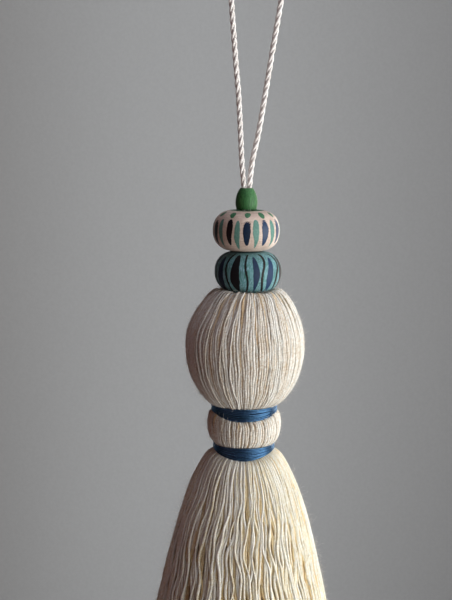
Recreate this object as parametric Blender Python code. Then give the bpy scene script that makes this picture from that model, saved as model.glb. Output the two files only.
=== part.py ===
"""A beaded tassel, hanging from its loop.

A cotton yarn hank is drawn over a ball, bound with blue thread, puffed out once
and bound again, and falls as a full skirt. Two painted wooden beads and a small
green one sit on the ball, strung on a doubled cord that ends in a hanging loop.

Metres, +Z up. The origin is where a hook carries the loop: the underside of the
cord at the top of the loop. Sizes below are in millimetres. A depth is measured
down the tassel's own axis from the top of the small bead.
"""

import math
import random

import bmesh
import bpy
from mathutils import Vector

MM = 0.001
FULL_TURN = 2.0 * math.pi
SEED = 7

# Pieces that touch in the real tassel stand this far apart.
SEAT_GAP = 0.3
MERGE_WITHIN = 0.001
SMOOTH_BELOW = math.radians(40)  # two faces that meet at less than this are shaded as one

# Twisted cord, its strands laid right-handed.
CORD_STRANDS = 3
CORD_DIAMETER = 2.0
CORD_GROOVE = 0.36  # depth of the groove between two strands
CORD_PITCH = 9.0  # one full turn of a strand
CORD_STEPS_PER_TURN = 8
ROUTE_SAMPLES = 24  # points read from the smooth route between two of its rows
CORD_INTO_BEAD = 3.0  # how far each leg runs into the small bead
LEG_APART = 2.05  # between the two legs' middles where they enter it

# The loop's middle line: x from the tassel's axis, height over the small bead.
# It leans to the right, as it would over a hook that grips it.
LOOP_ROUTE = (
    # x, height
    (-LEG_APART / 2, -CORD_INTO_BEAD),
    (-LEG_APART / 2, 0.5),
    (-1.9, 10.0),
    (-3.3, 33.0),
    (-4.7, 48.0),
    (-6.4, 69.0),
    (-7.2, 81.0),
    (-4.9, 90.5),
    (3.3, 94.6),
    (11.3, 90.9),
    (13.6, 81.5),
    (11.9, 69.0),
    (8.3, 46.5),
    (4.5, 22.5),
    (2.0, 10.0),
    (LEG_APART / 2, 0.5),
    (LEG_APART / 2, -CORD_INTO_BEAD),
)
CROWN_X = 3.3
CROWN_HEIGHT = 94.6

# The doubled cord inside the beads, its two legs pressed together.
STEM_LEG_RADIUS = 0.95
STEM_LEG_APART = 1.7
STEM_ARC_POINTS = 9

# Small bullet-shaped bead.
CAP_HEIGHT = 7.9
CAP_RADIUS = 4.25
CAP_BASE_RADIUS = 4.1
CAP_WIDEST = 2.4  # height of its widest place
CAP_FULL_FROM = 1.45  # and the height from which it is nearly as wide
CAP_DOME = 6.85  # height of the dome's full curve above that, cut off by the bore
CAP_DOME_POWER = 2.0
CAP_BORE_RADIUS = 2.35
CAP_RIM = 0.2  # how far the bore's edge lies under the top
CAP_STEPS = 24
CAP_DOME_ROWS = 6

# The two large beads: a rounded drum with flat ends.
BEAD_RADIUS = 12.5
BEAD_HEIGHT = 15.1
BEAD_CORE_RADIUS = 5.0  # the rounding starts from here at each flat end
BEAD_POWER = 2.2
BEAD_BORE_RADIUS = 3.0
BEAD_STEPS = 36
BEAD_ROUND_ROWS = 9

STRIPED_ASIDE = 0.8  # its bore is wide for the cord, so the lower bead has slipped to the right
PAINTED_TOP = CAP_HEIGHT + SEAT_GAP
STRIPED_TOP = PAINTED_TOP + BEAD_HEIGHT + SEAT_GAP
BALL_SEAT = STRIPED_TOP + BEAD_HEIGHT + SEAT_GAP

# Blue thread bindings. Each is wound wider at the front and back than at the
# sides, so its lower edge dips there.
BINDING_TURNS = 6
BINDING_RIDGE = 0.16
BINDING_STEPS = 28
UPPER_BINDING_TOP = 81.5
UPPER_BINDING_HEIGHT = 2.0
UPPER_BINDING_INNER = 11.5
UPPER_BINDING_OUTER = 12.6
UPPER_BINDING_DIP = 2.4
LOWER_BINDING_TOP = 96.4
LOWER_BINDING_HEIGHT = 1.5
LOWER_BINDING_INNER = 10.9
LOWER_BINDING_OUTER = 11.8
LOWER_BINDING_DIP = 2.9

# The ball of yarn: a well for the cord, a seat that hugs the bead and leans to the
# right with it, the round sides, and the neck inside the upper binding.
UPPER_NECK_RADIUS = UPPER_BINDING_INNER - SEAT_GAP
NECK_PARTING = 82.6  # where the ball's neck meets the collar's, under the binding
WELL_DEPTH = 2.8
WELL_RIM = 0.3  # how far the well's edge lies under the bead
BALL_OUTLINE = (
    # radius, depth, ridge, lean
    (0.0, BALL_SEAT + WELL_DEPTH, 0.0, 0.0),
    (2.7, BALL_SEAT + WELL_DEPTH, 0.0, 0.0),
    (2.9, BALL_SEAT + WELL_RIM, 0.0, 0.0),
    (8.0, 38.75, 0.10, STRIPED_ASIDE),
    (9.8, 37.95, 0.20, STRIPED_ASIDE),
    (11.2, 37.30, 0.30, STRIPED_ASIDE),
    (12.7, 37.95, 0.35, STRIPED_ASIDE),
    (15.9, 41.3, 0.40, 0.7),
    (19.5, 47.2, 0.40, 0.35),
    (21.6, 53.0, 0.40, 0.1),
    (22.3, 59.3, 0.40, 0.0),
    (21.7, 65.8, 0.40, 0.0),
    (19.8, 72.0, 0.40, 0.0),
    (16.7, 77.4, 0.35, 0.0),
    (13.3, 80.6, 0.25, 0.0),
    (UPPER_NECK_RADIUS, 81.2, 0.0, 0.0),
    (UPPER_NECK_RADIUS, NECK_PARTING, 0.0, 0.0),
    (0.0, NECK_PARTING, 0.0, 0.0),
)
BALL_RIDGES = 38

# The collar: the puff of yarn between the bindings.
LOWER_NECK_RADIUS = LOWER_BINDING_INNER - SEAT_GAP
SKIRT_PARTING = 97.2  # where the collar's neck meets the skirt's head
COLLAR_OUTLINE = (
    # radius, depth, ridge, share of the upper binding's dip that it follows
    (0.0, NECK_PARTING + SEAT_GAP, 0.0, 0.0),
    (UPPER_NECK_RADIUS, NECK_PARTING + SEAT_GAP, 0.0, 0.0),
    (UPPER_NECK_RADIUS, 83.8, 0.0, 1.0),
    (13.0, 84.2, 0.25, 1.0),
    (13.8, 86.4, 0.35, 0.7),
    (14.0, 89.6, 0.35, 0.2),
    (13.2, 93.8, 0.30, 0.0),
    (11.8, 95.8, 0.20, 0.0),
    (LOWER_NECK_RADIUS, 96.3, 0.0, 0.0),
    (LOWER_NECK_RADIUS, SKIRT_PARTING, 0.0, 0.0),
    (0.0, SKIRT_PARTING, 0.0, 0.0),
)
COLLAR_RIDGES = 32

# The skirt: rings of locks that hang from a head inside the lower binding.
SKIRT_LENGTH = 100.0
SKIRT_HEAD_TOP = SKIRT_PARTING + SEAT_GAP
SKIRT_ROOT = LOWER_BINDING_TOP + LOWER_BINDING_HEIGHT + SEAT_GAP
FLARE_LIP = 2.6  # how far the locks turn out over the binding's lower edge
FLARE_LIP_REACH = 0.9  # over about this length
FLARE_SWELL = 6.6  # how far they swell below that
FLARE_REACH = 14.0  # over about this length
FLARE_SLOPE = 0.24  # how much they widen for each millimetre all the way down
FLARE_EASE = 700.0  # the length over which that slope would fade away
LEVEL_REACH = 40.0  # over about this length the locks make up for the binding's dip
LOCK_RINGS = (
    # locks, share of the flare's radius at their outer side, thickness at root, at tip, sections
    (66, 1.00, 1.4, 2.8, 6),
    (50, 0.82, 1.4, 3.4, 4),
    (36, 0.63, 1.4, 3.8, 3),
    (20, 0.43, 1.4, 4.2, 3),
    (7, 0.22, 1.3, 4.4, 3),
)
LOCK_FILL = 0.80  # a lock's width as a share of the room that it has
LOCK_WAVE = 1.5  # sideways wave of the locks at their tips
LOCK_WAVE_LENGTH = 62.0
LOCK_WAVE_LOBES = 3  # waves round the skirt, so that neighbours wave together
LOCK_WAVE_PHASE = 1.9  # from one ring's wave to the next ring's
LOCK_UNEVEN = 1.6  # how much the cut ends differ
SECTION_CROWDING = 2.2  # over 1 crowds a lock's sections towards its root
LOCK_SMOOTH_BELOW = math.radians(70)

COTTON = ("natural_cotton_yarn", (0.80, 0.74, 0.62), 0.95)
CORD_COTTON = ("bleached_cotton_cord", (0.88, 0.85, 0.80), 0.90)
BLUE_THREAD = ("blue_cotton_thread", (0.05, 0.13, 0.28), 0.60)
GREEN_PAINT = ("green_painted_wood", (0.10, 0.32, 0.13), 0.60)
BARE_WOOD = ("bare_beech", (0.72, 0.55, 0.44), 0.65)
TEAL_PAINT = ("teal_painted_wood", (0.22, 0.45, 0.42), 0.60)


def clear_scene():
    for existing in list(bpy.data.objects):
        bpy.data.objects.remove(existing)


def paint(name, colour, roughness):
    """A plain, non-metallic material."""
    made = bpy.data.materials.new(name)
    made.use_nodes = True
    shader = made.node_tree.nodes["Principled BSDF"]
    shader.inputs["Base Color"].default_value = (*colour, 1.0)
    shader.inputs["Roughness"].default_value = roughness
    shader.inputs["Metallic"].default_value = 0.0
    return made


def place(name, data, axis, material, depth=0.0, aside=0.0):
    """Puts a mesh or a curve on the tassel's axis or beside it, its own origin at the given depth."""
    made = bpy.data.objects.new(name, data)
    bpy.context.scene.collection.objects.link(made)
    made.parent = axis
    made.location = (aside * MM, 0.0, -depth * MM)
    data.materials.append(material)
    return made


def finished_mesh(name, bm, smooth_below=SMOOTH_BELOW):
    """Closes the seams of a bmesh, turns its faces outwards and shades it smooth."""
    bmesh.ops.remove_doubles(bm, verts=bm.verts, dist=MERGE_WITHIN * MM)
    bmesh.ops.recalc_face_normals(bm, faces=bm.faces)
    mesh = bpy.data.meshes.new(name)
    bm.to_mesh(mesh)
    bm.free()
    mesh.shade_smooth()
    mesh.set_sharp_from_angle(angle=smooth_below)
    return mesh


def front_and_back(angle):
    """1 at the front and the back of the tassel, and 0 at its sides."""
    return math.sin(angle) ** 2


def turned(outline, steps, closed=False):
    """A bmesh spun about Z from an outline of (radius, z) in millimetres."""
    bm = bmesh.new()
    points = [bm.verts.new((radius * MM, 0.0, z * MM)) for radius, z in outline]
    edges = [bm.edges.new(pair) for pair in zip(points, points[1:])]
    if closed:
        edges.append(bm.edges.new((points[-1], points[0])))
    bmesh.ops.spin(
        bm,
        geom=points + edges,
        axis=(0.0, 0.0, 1.0),
        cent=(0.0, 0.0, 0.0),
        steps=steps,
        angle=FULL_TURN,
        use_merge=True,
        use_duplicate=False,
    )
    bmesh.ops.remove_doubles(bm, verts=bm.verts, dist=MERGE_WITHIN * MM)
    return bm


def angle_of(point):
    return math.atan2(point.y, point.x) % FULL_TURN


def ridge_side(angle, steps):
    """1 on the crest of a ridge, -1 in the furrow beside it."""
    return 1 if round(angle / FULL_TURN * steps) % 2 == 0 else -1


def row_of(vert, outline):
    """The outline's row whose radius and depth a spun vertex still has."""
    radius = math.hypot(vert.co.x, vert.co.y) / MM
    depth = -vert.co.z / MM
    return min(outline, key=lambda row: math.hypot(row[0] - radius, row[1] - depth))


def catmull_rom(route, samples):
    """Points along the smooth curve through a route, which it also starts and ends on."""
    padded = [route[0], *route, route[-1]]
    for a, b, c, d in zip(padded, padded[1:], padded[2:], padded[3:]):
        for i in range(samples):
            t = i / samples
            yield 0.5 * (
                2 * b + (c - a) * t + (2 * a - 5 * b + 4 * c - d) * t**2 + (3 * b - a - 3 * c + d) * t**3
            )
    yield route[-1]


def evenly_spaced(line, step):
    """The line again with points about step apart, as (point, distance along it)."""
    along = [0.0]
    for a, b in zip(line, line[1:]):
        along.append(along[-1] + (b - a).length)
    count = round(along[-1] / step)
    segment = 0
    spaced = []
    for i in range(count + 1):
        wanted = along[-1] * i / count
        while segment < len(line) - 2 and along[segment + 1] < wanted:
            segment += 1
        share = (wanted - along[segment]) / (along[segment + 1] - along[segment])
        spaced.append((line[segment].lerp(line[segment + 1], share), wanted))
    return spaced


def rope_section():
    """The cord's outline across: a crest for each strand, with a groove between two."""
    corners = 2 * CORD_STRANDS
    curve = bpy.data.curves.new("rope_section", "CURVE")
    curve.dimensions = "2D"
    spline = curve.splines.new("POLY")
    spline.points.add(corners - 1)
    spline.use_cyclic_u = True
    for i, point in enumerate(spline.points):
        radius = (CORD_DIAMETER / 2 - (CORD_GROOVE if i % 2 else 0.0)) * MM
        angle = -FULL_TURN * i / corners
        point.co = (radius * math.cos(angle), radius * math.sin(angle), 0.0, 1.0)
    guide = bpy.data.objects.new("rope_section", curve)
    bpy.context.scene.collection.objects.link(guide)
    guide.hide_render = True
    guide.display_type = "WIRE"
    return guide


def hanging_cord(axis, material):
    """One rope from the small bead up, over the hook and back, its strands turning as it goes."""
    route = [Vector((x, 0.0, height)) * MM for x, height in LOOP_ROUTE]
    smooth = list(catmull_rom(route, ROUTE_SAMPLES))
    stations = evenly_spaced(smooth, CORD_PITCH / CORD_STEPS_PER_TURN * MM)
    curve = bpy.data.curves.new("hanging_cord", "CURVE")
    curve.dimensions = "3D"
    curve.bevel_mode = "OBJECT"
    curve.bevel_object = rope_section()
    curve.use_fill_caps = True
    spline = curve.splines.new("POLY")
    spline.points.add(len(stations) - 1)
    for point, (place_, distance) in zip(spline.points, stations):
        point.co = (*place_, 1.0)
        point.tilt = FULL_TURN * distance / (CORD_PITCH * MM)
    return place("hanging_cord", curve, axis, material)


def cord_stem(axis, material):
    """The two legs pressed together inside the beads, as one prism with two round lobes."""
    top = CORD_INTO_BEAD + SEAT_GAP
    bottom = BALL_SEAT + WELL_DEPTH - SEAT_GAP
    meet = math.acos(STEM_LEG_APART / 2 / STEM_LEG_RADIUS)
    bm = bmesh.new()
    ring = []
    for side in (1, -1):
        for i in range(STEM_ARC_POINTS):
            turn = (math.pi - meet) * (2 * i / (STEM_ARC_POINTS - 1) - 1)
            x = side * (STEM_LEG_APART / 2 + STEM_LEG_RADIUS * math.cos(turn))
            y = side * STEM_LEG_RADIUS * math.sin(turn)
            ring.append(bm.verts.new((x * MM, y * MM, -top * MM)))
    bmesh.ops.remove_doubles(bm, verts=bm.verts, dist=MERGE_WITHIN * MM)
    loop = [vert for vert in ring if vert.is_valid]
    cap = bm.faces.new(loop)
    drawn = bmesh.ops.extrude_face_region(bm, geom=[cap], use_keep_orig=True)
    lowered = [item for item in drawn["geom"] if isinstance(item, bmesh.types.BMVert)]
    bmesh.ops.translate(bm, verts=lowered, vec=(0.0, 0.0, (top - bottom) * MM))
    return place("cord_stem", finished_mesh("cord_stem", bm), axis, material)


def cap_bead(axis, material):
    """A bullet-shaped bead: nearly straight below, domed above, cut off round the cord."""
    outline = [(CAP_BORE_RADIUS, 0.0), (CAP_BASE_RADIUS, 0.0), (CAP_RADIUS, CAP_FULL_FROM)]
    rise = CAP_HEIGHT - CAP_WIDEST
    for i in range(CAP_DOME_ROWS + 1):
        height = rise * math.sin(math.pi / 2 * i / CAP_DOME_ROWS)
        share = 1.0 - (height / CAP_DOME) ** CAP_DOME_POWER
        outline.append((CAP_RADIUS * share ** (1 / CAP_DOME_POWER), CAP_WIDEST + height))
    outline.append((CAP_BORE_RADIUS, CAP_HEIGHT - CAP_RIM))
    bm = turned(outline, CAP_STEPS, closed=True)
    return place("cap_bead", finished_mesh("cap_bead", bm), axis, material, depth=CAP_HEIGHT)


def drum_bead(name, top, axis, material, aside=0.0):
    """A wooden bead: flat ends, a straight bore, and a rounded side between them."""
    half = BEAD_HEIGHT / 2
    outline = [(BEAD_BORE_RADIUS, -half)]
    for i in range(BEAD_ROUND_ROWS + 1):
        turn = math.pi * (i / BEAD_ROUND_ROWS - 0.5)
        bulge = abs(math.cos(turn)) ** (2 / BEAD_POWER)
        rise = math.copysign(abs(math.sin(turn)) ** (2 / BEAD_POWER), turn)
        outline.append((BEAD_CORE_RADIUS + (BEAD_RADIUS - BEAD_CORE_RADIUS) * bulge, half * rise))
    outline.append((BEAD_BORE_RADIUS, half))
    bm = turned(outline, BEAD_STEPS, closed=True)
    return place(name, finished_mesh(name, bm), axis, material, top + half, aside)


def yarn_ball(axis, material):
    """The hank drawn over a ball: turned, with the yarns raised as ridges from pole to pole."""
    steps = 2 * BALL_RIDGES
    bm = turned([(radius, -depth) for radius, depth, *_ in BALL_OUTLINE], steps)
    for vert in bm.verts:
        _, _, ridge, lean = row_of(vert, BALL_OUTLINE)
        outwards = Vector((vert.co.x, vert.co.y, 0.0)).normalized()
        vert.co += outwards * ridge / 2 * MM * ridge_side(angle_of(vert.co), steps)
        vert.co.x += lean * MM
    return place("yarn_ball", finished_mesh("yarn_ball", bm), axis, material)


def yarn_collar(axis, material):
    """The puff between the bindings, ridged like the ball, its top following the binding's dip."""
    steps = 2 * COLLAR_RIDGES
    bm = turned([(radius, -depth) for radius, depth, *_ in COLLAR_OUTLINE], steps)
    for vert in bm.verts:
        _, _, ridge, follow = row_of(vert, COLLAR_OUTLINE)
        angle = angle_of(vert.co)
        outwards = Vector((vert.co.x, vert.co.y, 0.0)).normalized()
        vert.co += outwards * ridge / 2 * MM * ridge_side(angle, steps)
        vert.co.z -= UPPER_BINDING_DIP * follow * front_and_back(angle) * MM
    return place("yarn_collar", finished_mesh("yarn_collar", bm), axis, material)


def binding(name, top, height, inner, outer, dip, axis, material):
    """Turns of thread side by side, as one ring with a ridge for each turn."""
    turn_height = height / BINDING_TURNS
    outline = [(inner, 0.0)]
    for i in range(BINDING_TURNS):
        outline.append((outer - BINDING_RIDGE, -i * turn_height))
        outline.append((outer, -(i + 0.5) * turn_height))
    outline.append((outer - BINDING_RIDGE, -height))
    outline.append((inner, -height))
    bm = turned(outline, BINDING_STEPS, closed=True)
    for vert in bm.verts:
        down = -vert.co.z / (height * MM)
        vert.co.z -= dip * down * front_and_back(angle_of(vert.co)) * MM
    return place(name, finished_mesh(name, bm), axis, material, depth=top)


def flare(drop):
    """The skirt's radius at a drop below its root."""
    lip = FLARE_LIP * (1.0 - math.exp(-drop / FLARE_LIP_REACH))
    swell = FLARE_SWELL * (1.0 - math.exp(-drop / FLARE_REACH))
    return LOWER_NECK_RADIUS + lip + swell + FLARE_SLOPE * drop * (1.0 - drop / FLARE_EASE)


class Lock:
    """One lock of the skirt: four-sided, hanging in its own sector of its ring."""

    def __init__(self, ring, number, chance):
        self.count, self.share, self.root_thick, self.tip_thick, self.sections = LOCK_RINGS[ring]
        self.angle = FULL_TURN * (number + 0.5 * (ring % 2)) / self.count
        self.half_width = FULL_TURN / self.count * LOCK_FILL / 2
        self.phase = LOCK_WAVE_PHASE * ring
        self.length = SKIRT_LENGTH + LOCK_UNEVEN * chance.uniform(-1.0, 1.0)

    def drop(self, section):
        return self.length * (section / self.sections) ** SECTION_CROWDING

    def corner(self, drop, inner_or_outer, left_or_right):
        """A corner of the lock's section: -1 and 1 pick its inner or outer, left or right side."""
        grown = math.sqrt(drop / SKIRT_LENGTH)
        thick = self.root_thick + (self.tip_thick - self.root_thick) * grown
        outer = self.share * flare(drop)
        radius = outer if inner_or_outer > 0 else outer - thick
        wave = math.sin(FULL_TURN * drop / LOCK_WAVE_LENGTH + LOCK_WAVE_LOBES * self.angle + self.phase)
        sway = LOCK_WAVE * drop / SKIRT_LENGTH * wave / outer
        angle = self.angle + sway + left_or_right * self.half_width
        sink = LOWER_BINDING_DIP * front_and_back(angle) * max(0.0, 1.0 - drop / LEVEL_REACH)
        depth = SKIRT_ROOT + drop + sink
        return Vector((radius * math.cos(angle), radius * math.sin(angle), -depth)) * MM


def ring_of_roots(bm, locks):
    """A flat band of faces, a wide one for each lock and a narrow one between two.

    Returns the locks' faces and the edges of the band's outer and inner circles."""
    columns = []
    for lock in locks:
        for side in (-1, 1):
            columns.append([bm.verts.new(lock.corner(0.0, depth, side)) for depth in (1, -1)])
    faces = []
    outer_edges = []
    inner_edges = []
    for i, (left, right) in enumerate(zip(columns, columns[1:] + columns[:1])):
        face = bm.faces.new((left[0], left[1], right[1], right[0]))
        if i % 2 == 0:
            faces.append(face)
        outer_edges.append(bm.edges.get((left[0], right[0])))
        inner_edges.append(bm.edges.get((left[1], right[1])))
    return faces, outer_edges, inner_edges


def draw_out(bm, lock, root):
    """Extrudes a lock's root face down through its sections to its cut end."""
    sides = {}
    for depth in (1, -1):
        for side in (1, -1):
            place_ = lock.corner(0.0, depth, side)
            nearest = min(root.verts, key=lambda vert: (vert.co - place_).length)
            sides[list(root.verts).index(nearest)] = (depth, side)
    face = root
    for section in range(1, lock.sections + 1):
        places = [lock.corner(lock.drop(section), *sides[i]) for i in range(4)]
        verts = list(face.verts)
        below = [bm.verts.new(place_) for place_ in places]
        for i in range(4):
            j = (i + 1) % 4
            bm.faces.new((verts[i], verts[j], below[j], below[i]))
        bm.faces.remove(face)
        face = bm.faces.new(below)


def skirt(axis, material):
    """The skirt: a head of yarn inside the binding, with every lock drawn out of its underside."""
    chance = random.Random(SEED)
    bm = bmesh.new()
    roots = []
    above = None
    for ring, (count, *_) in enumerate(LOCK_RINGS):
        locks = [Lock(ring, number, chance) for number in range(count)]
        faces, outer_edges, inner_edges = ring_of_roots(bm, locks)
        roots += zip(locks, faces)
        if above is None:
            head = bmesh.ops.extrude_edge_only(bm, edges=outer_edges)["geom"]
            rim = [item for item in head if isinstance(item, bmesh.types.BMVert)]
            for vert in rim:
                vert.co.z = -SKIRT_HEAD_TOP * MM
            lid = [item for item in head if isinstance(item, bmesh.types.BMEdge)]
            bmesh.ops.contextual_create(bm, geom=[edge for edge in lid if edge.is_boundary])
        else:
            bmesh.ops.bridge_loops(bm, edges=above + outer_edges)
        above = inner_edges
    bmesh.ops.contextual_create(bm, geom=above)
    for lock, root in roots:
        draw_out(bm, lock, root)
    return place("skirt", finished_mesh("skirt", bm, LOCK_SMOOTH_BELOW), axis, material)


def main():
    clear_scene()
    axis = bpy.data.objects.new("tassel_axis", None)
    bpy.context.scene.collection.objects.link(axis)
    hook_height = CROWN_HEIGHT - CORD_DIAMETER / 2
    axis.location = (-CROWN_X * MM, 0.0, -hook_height * MM)

    cotton = paint(*COTTON)
    cord_cotton = paint(*CORD_COTTON)
    blue_thread = paint(*BLUE_THREAD)

    hanging_cord(axis, cord_cotton)
    cord_stem(axis, cord_cotton)
    cap_bead(axis, paint(*GREEN_PAINT))
    drum_bead("painted_bead", PAINTED_TOP, axis, paint(*BARE_WOOD))
    drum_bead("striped_bead", STRIPED_TOP, axis, paint(*TEAL_PAINT), STRIPED_ASIDE)
    yarn_ball(axis, cotton)
    binding(
        "upper_binding",
        UPPER_BINDING_TOP,
        UPPER_BINDING_HEIGHT,
        UPPER_BINDING_INNER,
        UPPER_BINDING_OUTER,
        UPPER_BINDING_DIP,
        axis,
        blue_thread,
    )
    yarn_collar(axis, cotton)
    binding(
        "lower_binding",
        LOWER_BINDING_TOP,
        LOWER_BINDING_HEIGHT,
        LOWER_BINDING_INNER,
        LOWER_BINDING_OUTER,
        LOWER_BINDING_DIP,
        axis,
        blue_thread,
    )
    skirt(axis, cotton)


main()
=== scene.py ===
"""The looks of a hanging beaded tassel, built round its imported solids.

Every piece is worked out with numpy in the tassel's own measure: millimetres
from its axis, and a depth in millimetres down from the top of the small bead.
"""

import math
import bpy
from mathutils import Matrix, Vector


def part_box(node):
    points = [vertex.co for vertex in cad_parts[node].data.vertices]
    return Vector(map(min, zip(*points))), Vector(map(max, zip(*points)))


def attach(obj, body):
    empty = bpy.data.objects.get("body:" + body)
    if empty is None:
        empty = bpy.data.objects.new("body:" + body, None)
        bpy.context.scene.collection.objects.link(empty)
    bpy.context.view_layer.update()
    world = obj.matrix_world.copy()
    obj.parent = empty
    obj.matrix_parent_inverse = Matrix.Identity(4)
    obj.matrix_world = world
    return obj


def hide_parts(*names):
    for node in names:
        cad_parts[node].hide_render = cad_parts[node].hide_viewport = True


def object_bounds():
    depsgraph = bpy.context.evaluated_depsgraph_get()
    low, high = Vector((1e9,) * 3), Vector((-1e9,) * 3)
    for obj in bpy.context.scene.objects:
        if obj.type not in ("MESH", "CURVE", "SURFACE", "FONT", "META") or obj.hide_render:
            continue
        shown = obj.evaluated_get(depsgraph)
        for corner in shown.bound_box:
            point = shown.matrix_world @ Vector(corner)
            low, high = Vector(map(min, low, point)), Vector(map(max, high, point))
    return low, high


bl_info = {
    "name": "Beaded Tassel",
    "version": (1, 0, 0),
    "blender": (4, 5, 0),
    "location": "3D View > Sidebar > Tassel",
    "description": "Builds a hanging tassel of cotton yarn, bound thread and painted wooden beads",
    "category": "Add Mesh",
}

import bpy
import numpy as np
from mathutils import Matrix, Vector

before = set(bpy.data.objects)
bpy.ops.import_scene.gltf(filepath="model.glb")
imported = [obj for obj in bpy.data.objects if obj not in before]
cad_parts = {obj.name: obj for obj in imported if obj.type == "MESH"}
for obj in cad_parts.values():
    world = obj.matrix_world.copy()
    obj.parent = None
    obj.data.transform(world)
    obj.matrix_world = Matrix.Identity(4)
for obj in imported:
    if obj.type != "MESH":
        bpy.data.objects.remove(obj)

MM = 0.001
TURN = 2.0 * math.pi
FRONT = -TURN / 4  # the angle that faces the camera
CAD_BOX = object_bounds()
BODY = "root"

CAP_LOW, CAP_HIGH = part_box("cap_bead")
AXIS_X = (CAP_LOW[0] + CAP_HIGH[0]) / 2
TOP_Z = CAP_HIGH[2]


# ---- shapes ----


def stacked(*parts):
    """The parts side by side along a new last axis."""
    return np.stack(np.broadcast_arrays(*parts), axis=-1)


def in_frame(x, y, depth):
    """Points in the row frame, in metres, from millimetres off the axis and a depth."""
    return stacked(AXIS_X + x * MM, y * MM, TOP_Z - depth * MM)


def about(angle, radius, depth, aside=0.0):
    """Points in the row frame at an angle and a radius about the axis, moved aside to the right."""
    return in_frame(radius * np.cos(angle) + aside, radius * np.sin(angle), depth)


def pointing(angle, out, up):
    """Vectors at an angle about the axis, so far out from it and so far up."""
    return stacked(out * np.cos(angle), out * np.sin(angle), up)


def front_and_back(angle):
    """1 at the tassel's front and back, 0 at its sides."""
    return np.sin(angle) ** 2


def round_axis(count):
    """Angles evenly once round."""
    return TURN * np.arange(count) / count


def spaced_round(chance, count, unevenness):
    """Angles evenly round the axis, each moved by up to unevenness of a step."""
    return TURN * (np.arange(count) + chance.uniform(-unevenness, unevenness, count)) / count


def unit(vectors):
    """The vectors at length 1."""
    return vectors / np.linalg.norm(vectors, axis=-1, keepdims=True)


def lengths(line):
    """The distance along a line, or each of many, at each of its points."""
    steps = np.linalg.norm(np.diff(line, axis=-2), axis=-1)
    return np.concatenate([np.zeros_like(steps[..., :1]), np.cumsum(steps, axis=-1)], axis=-1)


def through(rows, count):
    """count points evenly along a smooth curve through the rows.

    Between two rows the curve is the cubic whose slope at each row is half the
    step from the row before to the row after (Catmull-Rom)."""
    rows = np.asarray(rows, float)
    padded = np.concatenate([rows[:1], rows, rows[-1:]])
    t = np.arange(32)[:, None] / 32
    a, b, c, d = (padded[i : len(rows) - 1 + i, None, :] for i in range(4))
    square, cube = 2 * a - 5 * b + 4 * c - d, 3 * b - a - 3 * c + d
    cubic = 0.5 * (2 * b + (c - a) * t + square * t**2 + cube * t**3)
    line = np.concatenate([cubic.reshape(-1, rows.shape[1]), rows[-1:]])
    along = lengths(line)
    wanted = np.linspace(0.0, along[-1], count)
    return stacked(*(np.interp(wanted, along, column) for column in line.T))


def meander(chance, count, along, waves):
    """A wandering of count strands: the sum of one sine wave for each (length, height).

    Each strand has its own phase, and stretches and weakens each wave a little."""
    total = np.zeros((count, len(along)))
    for length, height in waves:
        phase = chance.uniform(0.0, TURN, (count, 1))
        stretch = chance.uniform(0.8, 1.25, (count, 1))
        strength = chance.uniform(0.3, 1.0, (count, 1))
        total += height * strength * np.sin(TURN * along / (length * stretch) + phase)
    return total


def drift(chance, count, along, waves, step):
    """A wandering that neighbours share: each wave's phase walks by step from strand to strand."""
    total = np.zeros((count, len(along)))
    for length, height in waves:
        phase = np.cumsum(chance.normal(0.0, step, (count, 1)), axis=0)
        strength = 0.7 + 0.3 * np.sin(np.cumsum(chance.normal(0.0, step, (count, 1)), axis=0))
        total += height * strength * np.sin(TURN * along / length + phase)
    return total


def flattened(parts):
    """Arrays end to end, as the single row of numbers that a mesh takes."""
    return np.concatenate([part.ravel() for part in parts]).astype(np.float32)


class Shell:
    """Points, faces, corner UVs and point attributes of one mesh, gathered before it is made."""

    def __init__(self):
        self.points, self.faces, self.uvs, self.marks = [], [], [], []
        self.count = 0

    def add(self, points, faces, uvs, marks):
        """points (n, 3) in metres, faces and uvs as lists of arrays, marks a dict of (n,) arrays."""
        self.points.append(points)
        self.faces += [face + self.count for face in faces]
        self.uvs += uvs
        self.marks.append(marks)
        self.count += len(points)

    def made(self, name, material, slot_name, *nodes):
        """The mesh object: shaded smooth, riding on the body, in place of the CAD nodes."""
        mesh = bpy.data.meshes.new(name)
        corners = np.concatenate([face.ravel() for face in self.faces]).astype(np.int32)
        sides = np.concatenate([np.full(len(face), face.shape[1]) for face in self.faces])
        mesh.vertices.add(self.count)
        mesh.vertices.foreach_set("co", flattened(self.points))
        mesh.loops.add(len(corners))
        mesh.loops.foreach_set("vertex_index", corners)
        mesh.polygons.add(len(sides))
        mesh.polygons.foreach_set("loop_start", (np.cumsum(sides) - sides).astype(np.int32))
        mesh.uv_layers.new(name="lay").uv.foreach_set("vector", flattened(self.uvs))
        for key in self.marks[0]:
            values = flattened([marks[key] for marks in self.marks])
            mesh.attributes.new(key, "FLOAT", "POINT").data.foreach_set("value", values)
        mesh.update(calc_edges=True)
        mesh.validate()
        mesh.shade_smooth()
        mesh.materials.append(material)
        piece = bpy.data.objects.new(name, mesh)
        bpy.context.scene.collection.objects.link(piece)
        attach(piece, BODY)
        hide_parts(*nodes)
        return piece


def ring_faces(rings, beyond, start, end):
    """Faces between rings of points and the rings beyond them, and their corners' UVs.

    UV is (millimetres along, which run from start to end, and turns round)."""
    j = np.arange(rings.shape[-1])
    quads = stacked(rings, beyond, np.roll(beyond, -1, axis=-1), np.roll(rings, -1, axis=-1))
    uv = stacked(stacked(start, end, end, start)[..., None, :], stacked(j, j, j + 1, j + 1) / len(j))
    return quads.reshape(-1, 4), uv.reshape(-1, 4, 2)


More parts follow.
